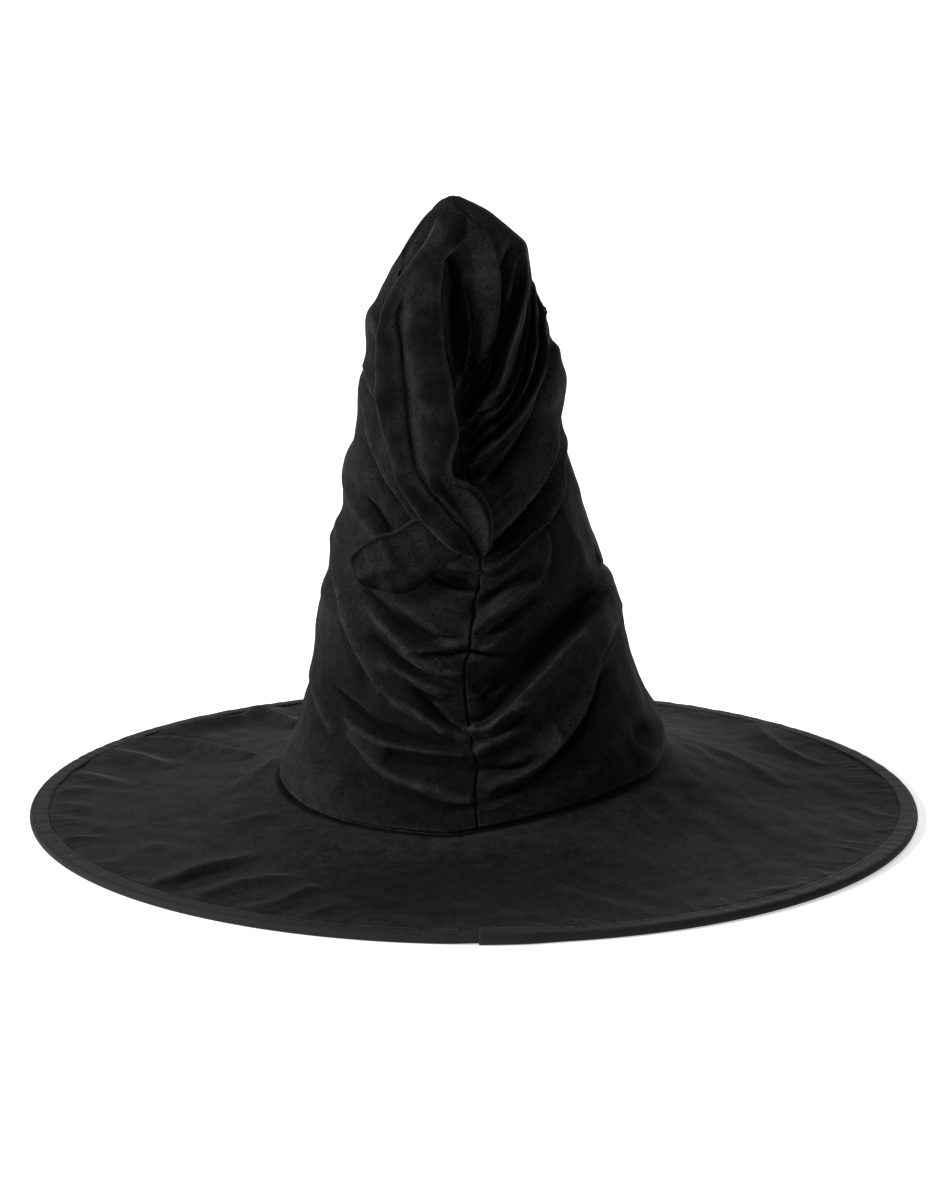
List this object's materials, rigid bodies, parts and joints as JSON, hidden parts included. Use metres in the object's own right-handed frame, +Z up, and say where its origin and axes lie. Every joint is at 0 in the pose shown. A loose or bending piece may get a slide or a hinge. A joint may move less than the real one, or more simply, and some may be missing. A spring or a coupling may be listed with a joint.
{
  "type": "witch hat",
  "caption": "Soft pointed witch hat with a wide flat brim, a gathered slouching crown and a hanging folded tip.",
  "frame": {"origin": "centre of the brim, on the surface that the hat rests on", "axes": "+Z up, +Y the way the wearer faces, -Y the back with the gathered seam and the hanging tip, +X the wearer's right"},
  "size_m": [0.44, 0.44, 0.31],
  "materials": {
    "velour": "short matt nap",
    "lining_cloth": "thin plain weave",
    "stiffening": "stiff needled felt",
    "spring_steel": "bright drawn wire",
    "crimp_steel": "crimped tube",
    "satin_tape": "smooth folded tape with a soft sheen",
    "thread": "twisted sewing thread",
    "elastic_tape": "braided elastic",
    "grosgrain": "ribbed tape",
    "label_tape": "blank woven label"
  },
  "bodies": {
    "hat": {"brim_top_cover": "velour", "brim_stiffener": "stiffening", "brim_underside_cover": "lining_cloth", "brim_hoop_wire": "spring_steel", "hoop_joining_sleeve": "crimp_steel", "brim_binding": "satin_tape", "binding_thread": "thread", "crown_shell": "velour", "crown_seam_thread": "thread", "back_seam_thread": "thread", "gathering_elastic": "elastic_tape", "elastic_tacks": "thread", "crown_lining": "lining_cloth", "sweatband": "grosgrain", "care_label": "label_tape", "label_stitches": "thread"},
    "tip": {"crown_tip": "velour"},
    "tip_end": {"tip_end": "velour"}
  },
  "joints": [
    {"name": "tip_fold", "type": "hinge", "parent": "hat", "child": "tip", "pos_m": [-0.02, -0.0695, 0.289], "axis": [-1, 0, 0], "range_deg": [0, 75]},
    {"name": "tip_end_fold", "type": "hinge", "parent": "tip", "child": "tip_end", "pos_m": [-0.014, -0.0745, 0.146], "axis": [0.2425, 0, 0.9701], "range_deg": [0, 60]}
  ]
}
